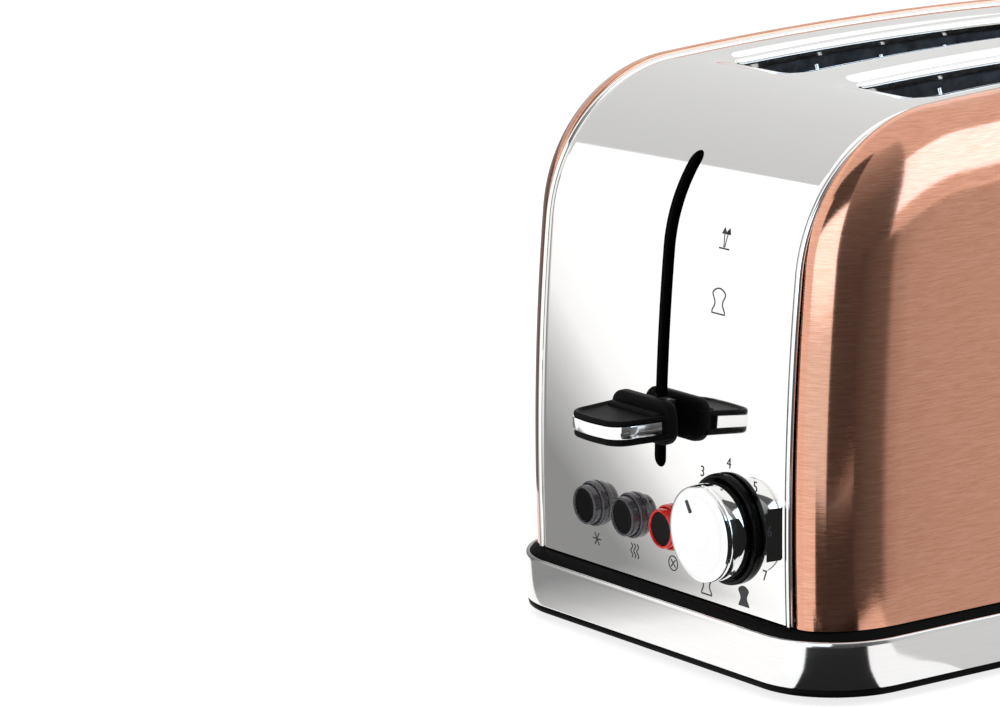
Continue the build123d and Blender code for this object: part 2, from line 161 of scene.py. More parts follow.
def reshape(piece, *steps, select="SELECT"):
    """Run mesh operators on a piece in edit mode, on everything or on nothing at first."""
    pick(piece)
    bpy.ops.object.mode_set(mode="EDIT")
    bpy.ops.mesh.select_all(action=select)
    for step in steps:
        step()
    bpy.ops.object.mode_set(mode="OBJECT")
    return piece


def weld():
    """Merge points that lie together."""
    bpy.ops.mesh.remove_doubles(threshold=0.00001)


def face_outwards():
    """Turn the faces outwards."""
    bpy.ops.mesh.normals_make_consistent(inside=False)


def mapped_grid(name, columns, rows, place):
    """A grid whose points are laid out by place(column, row)."""
    deselect()
    bpy.ops.mesh.primitive_grid_add(x_subdivisions=columns, y_subdivisions=rows, size=2)
    piece = named(name)
    for point in piece.data.vertices:
        column = round((point.co.x + 1) / 2 * columns)
        row = round((point.co.y + 1) / 2 * rows)
        point.co = place(column, row)
    return reshape(piece, weld, face_outwards)


def close_loops(piece):
    """Fill every open border with a flat face."""
    pick(piece)
    bpy.ops.object.mode_set(mode="EDIT")
    bpy.ops.mesh.select_all(action="DESELECT")
    bpy.ops.mesh.select_mode(type="EDGE")
    bpy.ops.mesh.select_non_manifold(extend=False, use_wire=False, use_multi_face=False, use_non_contiguous=False,
                                     use_verts=False)
    bpy.ops.mesh.fill_holes(sides=0)
    bpy.ops.mesh.select_all(action="SELECT")
    bpy.ops.mesh.normals_make_consistent(inside=False)
    bpy.ops.object.mode_set(mode="OBJECT")
    return piece


def with_modifier(piece, kind, **settings):
    """Add a modifier, set it and apply it."""
    pick(piece)
    change = piece.modifiers.new(kind.title(), kind)
    for key, value in settings.items():
        setattr(change, key, value)
    bpy.ops.object.modifier_apply(modifier=change.name)
    return piece


def cut(piece, *cutters):
    """Cut the cutters out of the piece and remove them."""
    for cutter in cutters:
        with_modifier(piece, "BOOLEAN", object=cutter, operation="DIFFERENCE", solver="EXACT")
        bpy.data.objects.remove(cutter)
    return piece


def join(*pieces):
    """One piece from several."""
    pick(pieces[0])
    for other in pieces[1:]:
        other.select_set(True)
    bpy.ops.object.join()
    return pieces[0]


def smooth(piece, angle=34):
    """Smooth shading across edges that turn less than angle."""
    pick(piece)
    bpy.ops.object.shade_smooth_by_angle(angle=math.radians(angle))
    return piece


def rounded_bar(name, low, high, corner, axis, segments=10):
    """Box between two corners with its edges along one axis rounded."""
    deselect()
    low, high = Vector(low), Vector(high)
    bpy.ops.mesh.primitive_cube_add(size=1, location=(low + high) / 2, scale=high - low)
    piece = settle(named(name))
    bpy.ops.object.mode_set(mode="EDIT")
    bpy.ops.mesh.select_mode(type="EDGE")
    bpy.ops.mesh.select_all(action="DESELECT")
    bpy.ops.object.mode_set(mode="OBJECT")
    for edge in piece.data.edges:
        start, end = (piece.data.vertices[i].co for i in edge.vertices)
        edge.select = axis == "ALL" or abs((end - start).normalized()["XYZ".index(axis)]) > 0.9
    bpy.ops.object.mode_set(mode="EDIT")
    bpy.ops.mesh.bevel(offset=corner, segments=segments, affect="EDGES", clamp_overlap=False)
    bpy.ops.object.mode_set(mode="OBJECT")
    return piece


def turned(name, centre, profile, steps=96):
    """Lathe a profile of (distance along X, radius) in millimetres about an X axis through centre."""
    def place(column, row):
        along, radius = (part * MM for part in profile[row])
        angle = 2 * math.pi * column / steps
        return (centre[0] + along, centre[1] + radius * math.cos(angle), centre[2] + radius * math.sin(angle))
    return mapped_grid(name, steps, len(profile) - 1, place)


def finished(piece, body, slot, material, *replaced):
    """Give the piece its body and finish, and hide the frame nodes that it stands for."""
    settle(piece)
    piece.data.materials.clear()
    piece.data.materials.append(material)
    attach(piece, body)
    if replaced:
        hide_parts(*replaced)
    return piece


# Body outline --------------------------------------------------------------------------------

def outline_stations(rise=0.0, bottom=None):
    """Points round the body's side outline as (x, z, outward x, outward z), from the front foot to the rear."""
    s = sizes()
    bottom = BODY_BOTTOM if bottom is None else bottom
    straight_top = BODY_BOTTOM + FOOT + rise
    stations = [(FRONT, bottom + (straight_top - bottom) * i / 4, -1.0, 0.0) for i in range(5)]
    x, z, angle = FRONT, straight_top, math.pi / 2
    turns = [(s.face_radius, s.face_turn, 26), (s.shoulder_radius, s.shoulder_turn, 64)]
    for radius, turn, count in turns + [(None, None, 44)]:
        if radius is None:
            radius, turn = (MIDDLE - x) / math.sin(angle), angle
        cx, cz = x + radius * math.sin(angle), z - radius * math.cos(angle)
        for i in range(1, count + 1):
            now = angle - turn * i / count
            stations.append((cx - radius * math.sin(now), cz + radius * math.cos(now), -math.sin(now), math.cos(now)))
        x, z = stations[-1][:2]
        angle -= turn
    mirrored = [(2 * MIDDLE - px, pz, -nx, nz) for px, pz, nx, nz in reversed(stations[:-1])]
    return stations + mirrored


def face_x(z):
    """X of the front face at a height on its gently bowed part."""
    s = sizes()
    above = max(0.0, z - BODY_BOTTOM - FOOT)
    return FRONT + s.face_radius - math.sqrt(s.face_radius ** 2 - above ** 2)


# Casing --------------------------------------------------------------------------------------

SLOT_LOW, SLOT_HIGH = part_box("slot_liner_far")
LINER_MARGIN = 1.7 * MM
SLOT_CENTRE_Y = (SLOT_LOW.y + SLOT_HIGH.y) / 2
SLOT_HALF_Y = (SLOT_HIGH.y - SLOT_LOW.y) / 2 - LINER_MARGIN
SLOT_HALF_X = (SLOT_HIGH.x - SLOT_LOW.x) / 2 - LINER_MARGIN
SLOT_CORNER = 7 * MM


def beyond_slot(x, y):
    """Distance outside the nearer bread slot's rounded outline, negative inside it."""
    dx = abs(x - MIDDLE) - SLOT_HALF_X + SLOT_CORNER
    dy = abs(abs(y) - SLOT_CENTRE_Y) - SLOT_HALF_Y + SLOT_CORNER
    return math.hypot(max(dx, 0), max(dy, 0)) + min(max(dx, dy), 0) - SLOT_CORNER


def wrap_section():
    """Half cross-section of the wrap as (y, height over the outline): flat, groove and rolled bead."""
    half = sizes().wrap_half_width
    flat = [(half * i / 44, 0.0) for i in range(45)]
    groove = [(half + 0.35 * MM, -0.12 * MM), (half + 0.7 * MM, -0.6 * MM), (half + 1.1 * MM, -1.1 * MM)]
    bead = []
    for i in range(11):
        turn = math.radians(195 - 25.5 * i)
        bead.append((half + 2.35 * MM + 1.15 * MM * math.cos(turn), -0.45 * MM + 1.15 * MM * math.sin(turn)))
    return flat + groove + bead


def build_wrap(material):
    """Polished sheet bent over both ends and the top, with dished bread slots and rolled edges."""
    s = sizes()
    stations = outline_stations()
    half = wrap_section()
    section = [(-y, n) for y, n in reversed(half[1:])] + half

    def place(column, row):
        x, z, nx, nz = stations[column]
        y, height = section[row]
        if nz > 0.5:
            past = min(1.0, max(0.0, beyond_slot(x, y) / s.dish_width))
            height -= s.dish_depth * (1 - past) ** 1.15
        return (x + nx * height, y, z + nz * height)

    wrap = mapped_grid("wrap_sheet", len(stations) - 1, len(section) - 1, place)
    with_modifier(wrap, "SOLIDIFY", thickness=s.sheet, offset=-1.0)
    cutters = []
    for side in SIDES:
        centre = side * SLOT_CENTRE_Y
        cutters.append(rounded_bar("slot_cutter", (MIDDLE - SLOT_HALF_X, centre - SLOT_HALF_Y, 0.15),
                                   (MIDDLE + SLOT_HALF_X, centre + SLOT_HALF_Y, 0.25), SLOT_CORNER, "Z"))
    reach = LEVER_SLOT_WIDTH / 2
    cutters.append(rounded_bar("lever_cutter", (FRONT - 0.01, -reach, LEVER_SLOT_LOW),
                               (FRONT + 0.035, reach, LEVER_SLOT_HIGH), reach * 0.999, "X"))
    cutters += [round_cutter(middle, BUTTON_BORE, FRONT) for middle in BUTTONS.values()]
    cutters.append(round_cutter(DIAL, SHAFT_BORE, FRONT))
    cutters.append(round_cutter(node_middle("cord_gland"), GLAND_BORE, REAR))
    cut(wrap, *cutters)
    for side in SIDES:
        join(wrap, slot_lip(side))
    return finished(smooth(wrap, 30), "housing", "polished_chrome", material, "wrap_shell")


def round_cutter(centre, radius, x):
    """Short round bar along X for cutting a hole."""
    deselect()
    bpy.ops.mesh.primitive_cylinder_add(vertices=64, radius=radius, depth=12 * MM,
                                        location=(x, centre.y, centre.z), rotation=(0, math.pi / 2, 0))
    return settle(named("round_cutter"))


def slot_lip(side):
    """Rolled lip that turns down into a bread slot all the way round."""
    s = sizes()
    crown = outline_stations()
    top = {round(x, 6): z for x, z, _, nz in crown if nz > 0.5}
    xs = sorted(top)

    def height(x):
        for left, right in zip(xs, xs[1:]):
            if left <= x <= right:
                share = (x - left) / (right - left)
                return top[left] * (1 - share) + top[right] * share
        return top[xs[0]]

    loop = rounded_loop(SLOT_HALF_X, SLOT_HALF_Y, SLOT_CORNER, 12)
    levels = [(0.35, -0.1), (0.0, -0.02), (-0.45, -0.14), (-0.85, -0.5), (-1.0, -1.0), (-1.0, -4.2), (-0.4, -4.6),
              (0.2, -4.2), (0.2, -1.2)]

    def place(column, row):
        x, y, nx, ny = loop[column % len(loop)]
        grow, drop = levels[row]
        base = height(MIDDLE + x) - s.dish_depth + 0.1 * MM
        return (MIDDLE + x + nx * grow * MM, side * SLOT_CENTRE_Y + y + ny * grow * MM, base + drop * MM)

    return mapped_grid("slot_lip", len(loop), len(levels) - 1, place)


def rounded_loop(half_x, half_y, corner, steps):
    """Points and outward directions round a rounded rectangle, with extra points along its sides."""
    loop = []
    corners = [(1, 1, 0), (-1, 1, 90), (-1, -1, 180), (1, -1, 270)]
    for index, (sx, sy, start) in enumerate(corners):
        cx, cy = sx * (half_x - corner), sy * (half_y - corner)
        for i in range(steps + 1):
            turn = math.radians(start + 90 * i / steps)
            loop.append((cx + corner * math.cos(turn), cy + corner * math.sin(turn), math.cos(turn), math.sin(turn)))
        nsx, nsy, nstart = corners[(index + 1) % 4]
        end = (nsx * (half_x - corner) + corner * math.cos(math.radians(nstart)),
               nsy * (half_y - corner) + corner * math.sin(math.radians(nstart)))
        begin = loop[-1]
        for i in range(1, 24):
            share = i / 24
            loop.append((begin[0] + (end[0] - begin[0]) * share, begin[1] + (end[1] - begin[1]) * share,
                         begin[2], begin[3]))
    return loop


def build_side_panel(side, material):
    """Domed copper pressing: a rounded border that runs into a flat field, with a turned-in rim."""
    s = sizes()
    stations = outline_stations(rise=3.2 * MM, bottom=BODY_BOTTOM - 0.6 * MM)
    start = s.wrap_half_width + 3.9 * MM
    depth = PANEL_OUT - start
    border = [(2.6, -0.6), (1.2, -0.75), (0.55, -0.6), (0.15, -0.25)]
    rows = [(inset * MM, start + out * MM) for inset, out in border]
    for i in range(29):
        turn = math.radians(90 * i / 28)
        rows.append((s.panel_reach * (1 - math.cos(turn)), start + depth * math.sin(turn)))

    def place(column, row):
        x, z, nx, nz = stations[column]
        inset, y = rows[row]
        inset += 1.6 * MM
        return (x - nx * inset, side * y, z - nz * inset)

    panel = mapped_grid(f"side_panel_{'near' if side < 0 else 'far'}", len(stations) - 1, len(rows) - 1, place)
    bpy.ops.object.mode_set(mode="EDIT")
    bpy.ops.mesh.select_mode(type="VERT")
    bpy.ops.mesh.select_all(action="DESELECT")
    bpy.ops.object.mode_set(mode="OBJECT")
    for point in panel.data.vertices:
        point.select = abs(point.co.y) > PANEL_OUT - 0.00001
    bpy.ops.object.mode_set(mode="EDIT")
    bpy.ops.mesh.edge_face_add()
    bpy.ops.mesh.select_all(action="SELECT")
    bpy.ops.mesh.normals_make_consistent(inside=False)
    bpy.ops.object.mode_set(mode="OBJECT")
    if panel_faces_inward(panel, side):
        flip(panel)
    with_modifier(panel, "SOLIDIFY", thickness=0.9 * MM, offset=-1.0)
    return finished(smooth(panel, 40), "housing", "brushed_copper", material,
                    f"side_panel_{'near' if side < 0 else 'far'}")


def panel_faces_inward(panel, side):
    """Whether the panel's large flat face looks towards the middle."""
    largest = max(panel.data.polygons, key=lambda face: face.area)
    return largest.normal.y * side < 0


def flip(piece):
    """Turn every face round."""
    reshape(piece, bpy.ops.mesh.flip_normals)


# Base ----------------------------------------------------------------------------------------

def base_ring(name, levels):
    """Ring round the base from (outward offset, height) levels in millimetres."""
    loop = rounded_loop((BAND_HIGH.x - BAND_LOW.x) / 2, BAND_HIGH.y, BASE_CORNER, 28)

    def place(column, row):
        x, y, nx, ny = loop[column % len(loop)]
        grow, height = levels[row]
        return (MIDDLE + x + nx * grow * MM, y + ny * grow * MM, height * MM)

    return mapped_grid(name, len(loop), len(levels) - 1, place)


def tray_opening():
    """Block that opens the base at the rear for the crumb tray's handle."""
    low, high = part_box("crumb_tray_handle")
    gap = 0.8 * MM
    return rounded_bar("tray_cutter", (REAR - 0.02, low.y - gap, low.z - gap),
                       (REAR + 0.02, high.y + gap, high.z + gap), 1.5 * MM, "X")


def build_base(band_material, moulding_material):
    """Brushed steel band with rolled edges, and the moulding with its lip and sloped ledge."""
    band = base_ring("base_band_sheet", [
        (-2.0, 5.3), (-1.0, 5.12), (-0.35, 5.14), (-0.08, 5.3), (0, 5.7), (0, 12), (0, 19.6), (-0.02, 20.3),
        (-0.15, 20.85), (-0.45, 21.22), (-0.9, 21.38), (-1.4, 21.25), (-1.7, 20.9)])
    with_modifier(band, "SOLIDIFY", thickness=0.6 * MM, offset=-1.0)
    cut(band, tray_opening())
    finished(smooth(band, 40), "housing", "brushed_steel", band_material, "base_band")
    moulding = base_ring("base_moulding_ring", [
        (-12, 6.0), (-11, 2.9), (-10, 2.5), (-2.2, 2.5), (-1.1, 2.62), (-0.55, 3.0), (-0.4, 3.6), (-0.4, 4.6),
        (-0.7, 5.0), (-1.6, 5.05), (-1.7, 6), (-1.7, 20.5), (-1.75, 21.0), (-2.0, 21.6), (-4.6, 23.3), (-5.3, 23.7),
        (-6.2, 23.9), (-12, 23.9), (-12, 6.0)])
    cut(moulding, tray_opening())
    finished(smooth(moulding, 40), "housing", "black_abs", moulding_material, "base_frame")


# Lever ---------------------------------------------------------------------------------------

def paddle_loop(shrink):
    """Plan of the paddle as points, drawn in by shrink: bowed front, round corners, wider at the back."""
    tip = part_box("lever_trim")[0].x + 0.5 * MM
    back = FRONT - 6.0 * MM
    half_front, half_back, bow, corner = 13.6 * MM, 16.5 * MM, 2.0 * MM, 7.5 * MM
    points = []
    slope = math.atan2(half_back - half_front, back - tip - bow)
    cx, cy = tip + bow + corner * 0.8, half_front - corner * 0.86
    for sign in (1, -1):
        part = [(back, sign * (half_back - shrink))]
        for i in range(1, 8):
            share = i / 8
            part.append((back + (cx - back) * share, sign * (half_back + (cy + corner - half_back) * share - shrink)))
        for i in range(15):
            turn = math.radians(90) + slope + math.radians(84) * i / 14
            part.append((cx + (corner - shrink) * math.cos(turn), sign * (cy + (corner - shrink) * math.sin(turn))))
        last_y = abs(part[-1][1])
        for i in range(1, 9):
            y = last_y * (1 - i / 8)
            part.append((tip + shrink + (part[22][0] - tip - shrink) * (y / last_y) ** 2, sign * y))
        points.append(part)
    return points[0] + list(reversed(points[1][:-1]))


def paddle_shell(name, levels):
    """Closed shell over the paddle's plan from (shrink, height) levels in millimetres."""
    loops = {shrink: paddle_loop(shrink * MM) for shrink, _ in levels}
    count = len(next(iter(loops.values())))

    def place(column, row):
        shrink, height = levels[row]
        x, y = loops[shrink][column % count]
        return (x, y, height * MM)

    return mapped_grid(name, count, len(levels) - 1, place)


def build_lever(material, trim_material):
    """Finger paddle with a dished top, an upright back plate and a bright band let in round its edge."""
    body = paddle_shell("lever_paddle_moulding", [
        (3.0, 78.3), (1.2, 78.32), (0.5, 78.5), (0.1, 78.9), (0.0, 79.5), (0.0, 80.6), (0.15, 80.75), (0.9, 80.8),
        (0.9, 85.3), (0.15, 85.35), (0.0, 85.5), (0.0, 86.2), (0.15, 86.65), (0.5, 86.95), (1.0, 87.0), (1.45, 86.85),
        (1.9, 86.45), (2.4, 86.2), (3.2, 86.1)])
    close_loops(body)
    plate = rounded_bar("back_plate", (FRONT - 7.4 * MM, -16.5 * MM, 75.8 * MM),
                        (FRONT - 2.6 * MM, 16.5 * MM, 91.0 * MM), 5.5 * MM, "X", 8)
    with_modifier(plate, "BEVEL", width=1.5 * MM, segments=4, limit_method="ANGLE", angle_limit=math.radians(50))
    fillet = rounded_bar("back_fillet", (FRONT - 10.5 * MM, -14.5 * MM, 84.5 * MM),
                         (FRONT - 5 * MM, 14.5 * MM, 87.6 * MM), 1.5 * MM, "ALL", 5)
    paddle = join(body, plate, fillet)
    finished(smooth(paddle, 40), "carriage", "black_abs", material, "lever_paddle")
    band = paddle_shell("lever_trim_band", [(0.9, 80.95), (0.1, 80.9), (-0.3, 81.0), (-0.42, 81.25), (-0.42, 84.9),
                                            (-0.3, 85.15), (0.1, 85.25), (0.9, 85.2)])
    rear_cutter = rounded_bar("rear_cutter", (FRONT - 9.8 * MM, -0.03, 0.07),
                              (FRONT + 0.01, 0.03, 0.1), 0.2 * MM, "Z", 2)
    close_loops(band)
    cut(band, rear_cutter)
    finished(smooth(band, 40), "carriage", "chrome_trim", trim_material, "lever_trim")


# Dial and buttons ----------------------------------------------------------------------------

def build_dial(knob_material, face_material, bezel_material, ink):
    """Hollow knob with a spun face and a pointer, and the ring behind it."""
    r = sizes().dial_radius / MM
    side = [(-11.7, r - 0.35), (-11.3, r - 0.15), (-10.6, r - 0.1), (-10.4, r - 0.35), (-10.1, r - 0.45),
            (-9.8, r - 0.35), (-9.6, r - 0.1), (-9.2, r), (-3.1, r), (-2.75, r - 0.2), (-2.6, r - 0.6),
            (-2.6, r - 1.5), (-3.5, r - 1.7), (-10.2, r - 1.9), (-10.2, 5.0), (-3.2, 5.0), (-3.2, 3.02)]
    knob = turned("dial_knob_shell", (FRONT, DIAL.y, DIAL.z), side)
    finished(smooth(knob, 30), "dial", "chrome_trim", knob_material, "dial_knob")
    face = [(-11.7, r - 0.35), (-12.0, r - 0.75), (-12.2, r - 1.2), (-12.3, r - 1.9), (-12.26, r - 2.6),
            (-12.18, r - 3.6), (-12.1, 9.0), (-12.02, 5.0), (-12.0, 1.5), (-12.0, 0.0)]
    disc = turned("dial_knob_face", (FRONT, DIAL.y, DIAL.z), face, 128)
    finished(smooth(disc, 40), "dial", "chrome_trim", face_material)
    mark = rounded_bar("dial_pointer_mark", (FRONT - 12.42 * MM, DIAL.y - 0.55 * MM, DIAL.z + 7.6 * MM),
                       (FRONT - 11.9 * MM, DIAL.y + 0.55 * MM, DIAL.z + 12.2 * MM), 0.4 * MM, "X", 4)
    turn_about_x(mark, DIAL, sizes().pointer_angle)
    finished(mark, "dial", "black_abs", ink, "dial_pointer")
    ring = [(-0.05, 11.0), (-0.4, 10.9), (-1.6, 11.2), (-1.9, 12.0), (-1.9, 16.9), (-2.05, 17.2), (-2.28, 17.5),
            (-2.3, 17.9), (-2.2, 18.3), (-1.9, 18.6), (-1.4, 18.75), (-0.7, 18.8), (-0.05, 18.8), (-0.05, 11.0)]
    bezel = turned("dial_bezel_ring", (FRONT, DIAL.y, DIAL.z), ring)
    finished(smooth(bezel, 35), "housing", "gloss_black", bezel_material, "dial_bezel")


def turn_about_x(piece, centre, angle):
    """Turn a piece about an X axis through centre, clockwise as the front sees it."""
    piece.data.transform(Matrix.Translation(Vector(centre)) @ Matrix.Rotation(angle, 4, "X")
                         @ Matrix.Translation(-Vector(centre)))
    return piece


def build_buttons(cap_material, smoky, red):
    """Three push buttons: a dark cap in a translucent ring, inside a fixed collar."""
    for name, middle in BUTTONS.items():
        centre = (FRONT, middle.y, middle.z)
        light = red if name == "cancel" else smoky
        slot = "red_plastic" if name == "cancel" else "smoky_plastic"
        cap = [(5.7, 0.0), (5.7, 2.2), (2.0, 2.2), (2.0, 5.65), (-4.3, 5.7), (-4.55, 5.6), (-4.7, 5.35), (-4.75, 5.0),
               (-4.72, 3.5), (-4.66, 1.5), (-4.65, 0.0)]
        piece = turned(f"{name}_button_cap", centre, cap, 64)
        finished(smooth(piece, 35), f"{name}_button", "gloss_black", cap_material, f"{name}_cap")
        ring = [(3.0, 5.75), (3.0, 6.8), (-3.9, 6.8), (-4.5, 6.75), (-4.95, 6.55), (-5.18, 6.25), (-5.15, 5.98),
                (-4.9, 5.82), (-4.4, 5.75), (3.0, 5.75)]
        piece = turned(f"{name}_button_ring", centre, ring, 64)
        finished(smooth(piece, 35), f"{name}_button", slot, light, f"{name}_ring")
        collar = [(-0.02, 7.05), (-0.02, 7.9), (-1.2, 7.9), (-1.75, 7.8), (-2.1, 7.55), (-2.2, 7.3), (-2.1, 7.1),
                  (-1.8, 7.05), (-0.02, 7.05)]
        piece = turned(f"{name}_fixed_collar", centre, collar, 64)
        finished(smooth(piece, 35), "housing", slot, light, f"{name}_collar")


# Printed marks -------------------------------------------------------------------------------

def lay_on_face(piece, y, z, angle=0.0):
    """Stand a flat mark, drawn in XY, on the front face: its X runs to the front's right and its Y up."""
    for point in piece.data.vertices:
        right = point.co.x * math.cos(angle) + point.co.y * math.sin(angle)
        up = point.co.y * math.cos(angle) - point.co.x * math.sin(angle)
        place_z = z + up
        point.co = (face_x(place_z) - INK_HEIGHT - point.co.z, y - right, place_z)
    return piece


def flat_shape(name, spots):
    """Thin flat mark from a ring of points in millimetres."""
    def place(column, row):
        x, y = spots[column % len(spots)]
        return (x * MM, y * MM, INK_HEIGHT * row)
    return close_loops(mapped_grid(name, len(spots), 1, place))


def ribbon(name, spine, width, closed=False):
    """Thin flat line of one width along a list of points in millimetres."""
    count = len(spine)

    def place(column, row):
        here = spine[column % count]
        before = spine[(column - 1) % count] if closed else spine[max(column - 1, 0)]
        after = spine[(column + 1) % count] if closed else spine[min(column + 1, count - 1)]
        along = Vector((after[0] - before[0], after[1] - before[1])).normalized()
        side = width / 2 * (1 if row else -1)
        return ((here[0] - along.y * side) * MM, (here[1] + along.x * side) * MM, 0)

    line = mapped_grid(name, count if closed else count - 1, 1, place)
    return with_modifier(line, "SOLIDIFY", thickness=INK_HEIGHT, offset=0.0)


def slice_outline(width, height):
    """Outline of a slice of bread: a wide foot, a waist and a round top."""
    half = []
    for i in range(29):
        v = 1 - (1 - i / 28) ** 1.6
        spread = 0.79 + 0.21 * math.cos(2 * math.pi * v / 0.82)
        if v > 0.72:
            spread *= math.sqrt(max(0.0, 1 - ((v - 0.72) / 0.28) ** 2))
        half.append((width / 2 * spread, height * (v - 0.5)))
    return half + [(-x, y) for x, y in reversed(half[:-1])]


def number_mark(text, y, z):
    """A small numeral."""
    deselect()
    bpy.ops.object.text_add(location=(0, 0, 0))
    label = bpy.context.object
    label.data.body = text
    label.data.size = NUMBER_SIZE
    label.data.align_x = "CENTER"
    label.data.align_y = "CENTER"
    label.data.extrude = 0.04 * MM
    bpy.ops.object.convert(target="MESH")
    piece = named(f"dial_number_{text}")
    return lay_on_face(piece, y, z)


def build_marks(ink):
    """Dial numbers and small generic pictures printed on the front face."""
    steps = sizes().dial_steps
    centre_y, centre_z = DIAL.y - 0.4 * MM, DIAL.z - 0.8 * MM
    for step in range(steps):
        angle = math.radians(NUMBER_SWEEP * (step / (steps - 1) - 0.5))
        mark = number_mark(str(step + 1), centre_y - NUMBER_RADIUS * math.sin(angle),
                           centre_z + NUMBER_RADIUS * math.cos(angle))
        finished(mark, "housing", "black_abs", ink)
    slices = [("slice_light", False, (5.8, 7.0), -25.6, 29.9), ("slice_dark", True, (5.8, 7.0), -46.4, 29.9),
              ("slice_lift", False, (7.2, 8.4), -29.4, 126.0)]
    for name, solid, size, y, z in slices:
        outline = slice_outline(*size)
        piece = flat_shape(name, outline) if solid else ribbon(name, outline, 0.5, closed=True)
        finished(lay_on_face(piece, y * MM, z * MM), "housing", "black_abs", ink)
    middle = {name: (spot.y, spot.z - SYMBOL_DROP) for name, spot in BUTTONS.items()}
    flake = []
    for turn in (0, 60, 120):
        arm = Vector((math.cos(math.radians(turn)), math.sin(math.radians(turn)))) * 2.5
        flake.append(ribbon("flake_arm", [(-arm.x, -arm.y), (arm.x, arm.y)], INK_LINE))
    mark_group(flake, "mark_defrost", middle["defrost"], ink)
    waves = []
    for shift in (-1.7, 0.0, 1.7):
        spine = [(shift + 0.55 * math.sin(i * 0.62), -2.5 + 5.0 * i / 16) for i in range(17)]
        waves.append(ribbon("wave", spine, INK_LINE))
    mark_group(waves, "mark_reheat", middle["reheat"], ink)
    circle = [(2.5 * math.cos(math.radians(12 * i)), 2.5 * math.sin(math.radians(12 * i))) for i in range(30)]
    stop = [ribbon("stop_ring", circle, INK_LINE, closed=True),
            ribbon("stop_bar", [(-1.3, -1.3), (1.3, 1.3)], INK_LINE),
            ribbon("stop_cross", [(-1.3, 1.3), (1.3, -1.3)], INK_LINE)]
    mark_group(stop, "mark_cancel", middle["cancel"], ink)
    arrow = [ribbon("lift_shaft", [(0, -3.2), (0, 2.0)], 0.5),
             flat_shape("lift_head", [(-1.6, 1.2), (1.6, 1.2), (0, 3.6)]),
             ribbon("lift_foot", [(-2.6, -3.6), (2.6, -3.6)], 0.5)]
    mark_group(arrow, "mark_high_lift", (-30.0 * MM, 147.0 * MM), ink)


def mark_group(strokes, name, spot, ink):
    """Join strokes into one mark and lay it on the face."""
    piece = join(*strokes)
    piece.name = name
    finished(lay_on_face(piece, *spot), "housing", "black_abs", ink)


# Materials -----------------------------------------------------------------------------------

def linear(code):
    """sRGB hex colour as linear RGBA."""
    parts = [int(code.lstrip("#")[i:i + 2], 16) / 255 for i in (0, 2, 4)]
    return tuple(p / 12.92 if p <= 0.04045 else ((p + 0.055) / 1.055) ** 2.4 for p in parts) + (1.0,)


def add_node(material, kind, settings=None, links=None, stops=()):
    """Add a node: settings fill sockets or properties, links join sockets to (node, output) pairs, and stops are a
    colour ramp's (place, hex or grey) pairs."""
    tree = material.node_tree
    node = tree.nodes.new(kind)
    for key, value in (settings or {}).items():
        if key in node.inputs:
            node.inputs[key].default_value = value
        else:
            setattr(node, key, value)
    for key, (source, output) in (links or {}).items():
        tree.links.new(source.outputs[output], node.inputs[key])
    for index, (place, colour) in enumerate(stops):
        stop = node.color_ramp.elements[index] if index < 2 else node.color_ramp.elements.new(place)
        stop.position = place
        stop.color = linear(colour) if isinstance(colour, str) else (colour, colour, colour, 1.0)
    return node


def blank(name, **settings):
    """A material with one shader, its constants set on the shader's own sockets."""
    material = bpy.data.materials.new(name)
    material.use_nodes = True
    material.node_tree.nodes.clear()
    shader = add_node(material, "ShaderNodeBsdfPrincipled", settings)
    add_node(material, "ShaderNodeOutputMaterial", links={"Surface": (shader, "BSDF")})
    coords = add_node(material, "ShaderNodeTexCoord")
    return material, shader, coords


def join_socket(material, source, output, target, socket):
    """Link two sockets."""
    material.node_tree.links.new(source.outputs[output], target.inputs[socket])


def drive(material, shader, grain, colours, rough, bump=0.0, height=0.0, tones=(0.3, 0.7), span=(0.3, 0.7)):
    """Let one pattern drive the shader's colour between two hex tones, its roughness and its relief."""
    tint = add_node(material, "ShaderNodeValToRGB", links={"Fac": (grain, "Fac")}, stops=list(zip(tones, colours)))
    join_socket(material, tint, "Color", shader, "Base Color")
    even = add_node(material, "ShaderNodeMapRange", {"From Min": span[0], "From Max": span[1], "To Min": rough[0],
                                                     "To Max": rough[1]}, {"Value": (grain, "Fac")})
    join_socket(material, even, "Result", shader, "Roughness")
    if bump:
        relief = add_node(material, "ShaderNodeBump", {"Strength": bump, "Distance": height},
                          {"Height": (grain, "Fac")})
        join_socket(material, relief, "Normal", shader, "Normal")


def brushed(name, low, high, stretch, rough_low, rough_high, bump, **settings):
    """Metal with fine straight lines: colour, roughness and height follow stretched noise."""
    material, shader, coords = blank(name, **{"Metallic": 1.0, **settings})
    place = add_node(material, "ShaderNodeMapping", {"Scale": stretch}, {"Vector": (coords, "Object")})
    lines = add_node(material, "ShaderNodeTexNoise", {"Scale": 1.0, "Detail": 3.0, "Roughness": 0.65},
                     {"Vector": (place, "Vector")})
    drive(material, shader, lines, (low, high), (rough_low, rough_high), bump, 0.00004)
    return material


def mottled(name, low, high, scale, rough_low, rough_high, bump, distance=0.00003, **settings):
    """Surface with an even grain: colour, roughness and height follow fine noise."""
    material, shader, coords = blank(name, **settings)
    grain = add_node(material, "ShaderNodeTexNoise", {"Scale": scale, "Detail": 4.0, "Roughness": 0.55},
                     {"Vector": (coords, "Object")})
    drive(material, shader, grain, (low, high), (rough_low, rough_high), bump, distance, tones=(0.32, 0.68))
    return material


